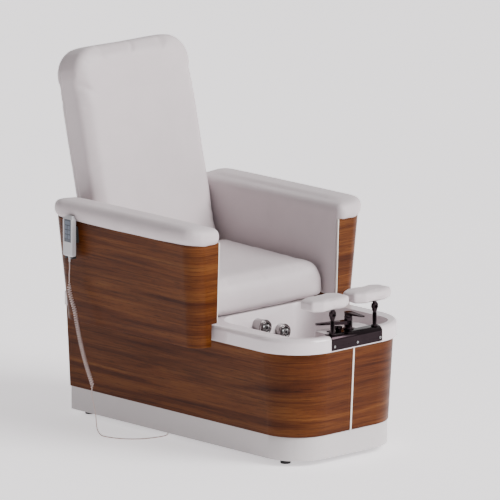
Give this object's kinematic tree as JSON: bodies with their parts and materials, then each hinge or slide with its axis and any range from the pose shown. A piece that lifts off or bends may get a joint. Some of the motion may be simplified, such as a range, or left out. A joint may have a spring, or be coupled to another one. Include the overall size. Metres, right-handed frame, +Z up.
{
  "type": "pedicure spa chair",
  "caption": "Reclining, sliding armchair on a veneered cabinet with an acrylic water-jet foot basin, adjustable foot pads, mixer tap and a corded massage handset.",
  "frame": {"origin": "floor level under the middle of the chair (bottom centre of its bounding box)", "axes": "+Z up, -Y towards the foot basin at the front, +X to the sitter's left"},
  "size_m": [0.8923, 1.3612, 1.3712],
  "materials": {
    "plinth_laminate": "satin laminate",
    "frame_steel": "powder coat",
    "foot_rubber": "moulded",
    "veneer": "satin lacquer over horizontal grain",
    "white_trim": "satin",
    "acrylic": "polished",
    "dark_chrome": "dark mirror plating",
    "bright_steel": "brushed",
    "jet_chrome": "chromed plastic",
    "pump_plastic": "moulded",
    "pipe_plastic": "extruded",
    "box_plastic": "moulded",
    "black_plastic": "moulded",
    "cord_jacket": "smooth jacket",
    "coil_jacket": "smooth jacket, mostly air between its turns",
    "pad_vinyl": "smooth vinyl",
    "plywood": "raw plywood",
    "leatherette": "fine-grained off-white leatherette over foam",
    "handset_plastic": "satin moulding",
    "keypad_plastic": "satin overlay",
    "key_rubber": "silicone"
  },
  "bodies": {
    "cabinet": {"plinth": "plinth_laminate", "base_frame": "frame_steel", "levelling_feet": "foot_rubber", "left_cabinet_panel": "veneer", "right_cabinet_panel": "veneer", "rear_access_panel": "veneer", "front_trim_strip": "white_trim", "basin_deck": "acrylic", "fixture_bridge": "dark_chrome", "bridge_screws": "bright_steel", "mixer_body": "dark_chrome", "footrest_tubes": "dark_chrome", "drain_fitting": "bright_steel", "suction_cover": "bright_steel", "jet_bodies": "jet_chrome", "circulation_pump": "pump_plastic", "water_pipes": "pipe_plastic", "control_box": "box_plastic", "power_inlet": "black_plastic", "cord_gland": "black_plastic", "slide_rails": "bright_steel", "cord_floor_lead": "cord_jacket"},
    "mixer_cap": {"mixer_cap": "dark_chrome"},
    "mixer_lever": {"mixer_lever": "dark_chrome"},
    "spout": {"spout": "dark_chrome"},
    "diverter_knob": {"diverter_knob": "dark_chrome"},
    "drain_plug": {"drain_plug": "bright_steel"},
    "left_jet_nozzle": {"left_jet_nozzle": "jet_chrome"},
    "right_jet_nozzle": {"right_jet_nozzle": "jet_chrome"},
    "left_footrest_stem": {"left_footrest_stem": "dark_chrome"},
    "right_footrest_stem": {"right_footrest_stem": "dark_chrome"},
    "left_footrest": {"left_pad_bracket": "dark_chrome", "left_foot_pad": "pad_vinyl"},
    "right_footrest": {"right_pad_bracket": "dark_chrome", "right_foot_pad": "pad_vinyl"},
    "seat": {"seat_carcass": "plywood", "seat_cushion": "leatherette", "left_arm_panel": "veneer", "right_arm_panel": "veneer", "left_arm_bolster": "leatherette", "right_arm_bolster": "leatherette", "left_inner_pad": "leatherette", "right_inner_pad": "leatherette", "handset_cradle": "box_plastic", "recline_actuator": "box_plastic", "cord_coil": "coil_jacket", "cord_top_lead": "cord_jacket"},
    "backrest": {"back_shell": "leatherette", "back_cushion": "leatherette", "back_hinge_arms": "frame_steel"},
    "actuator_rod": {"actuator_rod": "bright_steel"},
    "handset": {"handset_shell": "handset_plastic", "keypad_bezel": "keypad_plastic"},
    "key_power": {"key_power": "key_rubber"},
    "key_1": {"key_1": "key_rubber"},
    "key_2": {"key_2": "key_rubber"},
    "key_3": {"key_3": "key_rubber"},
    "key_4": {"key_4": "key_rubber"},
    "key_5": {"key_5": "key_rubber"},
    "key_6": {"key_6": "key_rubber"}
  },
  "joints": [
    {"name": "seat_slide", "type": "slide", "parent": "cabinet", "child": "seat", "axis": [0, 1, 0], "range_m": [-0.08, 0.07]},
    {"name": "backrest_recline", "type": "hinge", "parent": "seat", "child": "backrest", "pos_m": [0, 0.46, 0.56], "axis": [-1, 0, 0], "range_deg": [0, 30]},
    {"name": "actuator_stroke", "type": "slide", "parent": "seat", "child": "actuator_rod", "axis": [0, 1, 0], "range_m": [-0.0188, 0.0001]},
    {"name": "mixer_turn", "type": "hinge", "parent": "cabinet", "child": "mixer_cap", "pos_m": [0, -0.598, 0.526], "axis": [0, 0, 1], "range_deg": [-45, 45]},
    {"name": "mixer_lift", "type": "hinge", "parent": "mixer_cap", "child": "mixer_lever", "pos_m": [0, -0.598, 0.528], "axis": [-1, 0, 0], "range_deg": [0, 20]},
    {"name": "spout_swivel", "type": "hinge", "parent": "cabinet", "child": "spout", "pos_m": [0, -0.598, 0.5], "axis": [0, 0, 1], "range_deg": [-134, 16]},
    {"name": "diverter_turn", "type": "hinge", "parent": "cabinet", "child": "diverter_knob", "pos_m": [-0.049, -0.598, 0.486], "axis": [0, 0, 1], "range_deg": [-45, 45]},
    {"name": "drain_plug_lift", "type": "slide", "parent": "cabinet", "child": "drain_plug", "axis": [0, 0, 1], "range_m": [0, 0.012]},
    {"name": "right_jet_aim", "type": "hinge", "parent": "cabinet", "child": "right_jet_nozzle", "pos_m": [-0.03, -0.191, 0.42], "axis": [1, 0, 0], "range_deg": [-20, 20]},
    {"name": "left_jet_aim", "type": "hinge", "parent": "cabinet", "child": "left_jet_nozzle", "pos_m": [0.077, -0.178, 0.386], "axis": [1, 0, 0], "range_deg": [-20, 20]},
    {"name": "left_footrest_height", "type": "slide", "parent": "cabinet", "child": "left_footrest_stem", "axis": [0, 0, 1], "range_m": [0, 0.05]},
    {"name": "left_footrest_tilt", "type": "hinge", "parent": "left_footrest_stem", "child": "left_footrest", "pos_m": [0.104, -0.6255, 0.556], "axis": [1, 0, 0], "range_deg": [-12, 30]},
    {"name": "right_footrest_height", "type": "slide", "parent": "cabinet", "child": "right_footrest_stem", "axis": [0, 0, 1], "range_m": [0, 0.05]},
    {"name": "right_footrest_tilt", "type": "hinge", "parent": "right_footrest_stem", "child": "right_footrest", "pos_m": [-0.104, -0.6255, 0.556], "axis": [1, 0, 0], "range_deg": [-12, 30]},
    {"name": "handset_lift", "type": "slide", "parent": "seat", "child": "handset", "axis": [0, 0, 1], "range_m": [0, 0.04]},
    {"name": "key_power_press", "type": "slide", "parent": "handset", "child": "key_power", "axis": [1, 0, 0], "range_m": [0, 0.001], "stiffness_N_per_m": 600, "springref_m": -0.001},
    {"name": "key_1_press", "type": "slide", "parent": "handset", "child": "key_1", "axis": [1, 0, 0], "range_m": [0, 0.001], "stiffness_N_per_m": 600, "springref_m": -0.001},
    {"name": "key_2_press", "type": "slide", "parent": "handset", "child": "key_2", "axis": [1, 0, 0], "range_m": [0, 0.001], "stiffness_N_per_m": 600, "springref_m": -0.001},
    {"name": "key_3_press", "type": "slide", "parent": "handset", "child": "key_3", "axis": [1, 0, 0], "range_m": [0, 0.001], "stiffness_N_per_m": 600, "springref_m": -0.001},
    {"name": "key_4_press", "type": "slide", "parent": "handset", "child": "key_4", "axis": [1, 0, 0], "range_m": [0, 0.001], "stiffness_N_per_m": 600, "springref_m": -0.001},
    {"name": "key_5_press", "type": "slide", "parent": "handset", "child": "key_5", "axis": [1, 0, 0], "range_m": [0, 0.001], "stiffness_N_per_m": 600, "springref_m": -0.001},
    {"name": "key_6_press", "type": "slide", "parent": "handset", "child": "key_6", "axis": [1, 0, 0], "range_m": [0, 0.001], "stiffness_N_per_m": 600, "springref_m": -0.001}
  ],
  "couplings": [
    {"joint": "actuator_stroke", "follows": "backrest_recline", "m_per_rad": -0.0356}
  ]
}
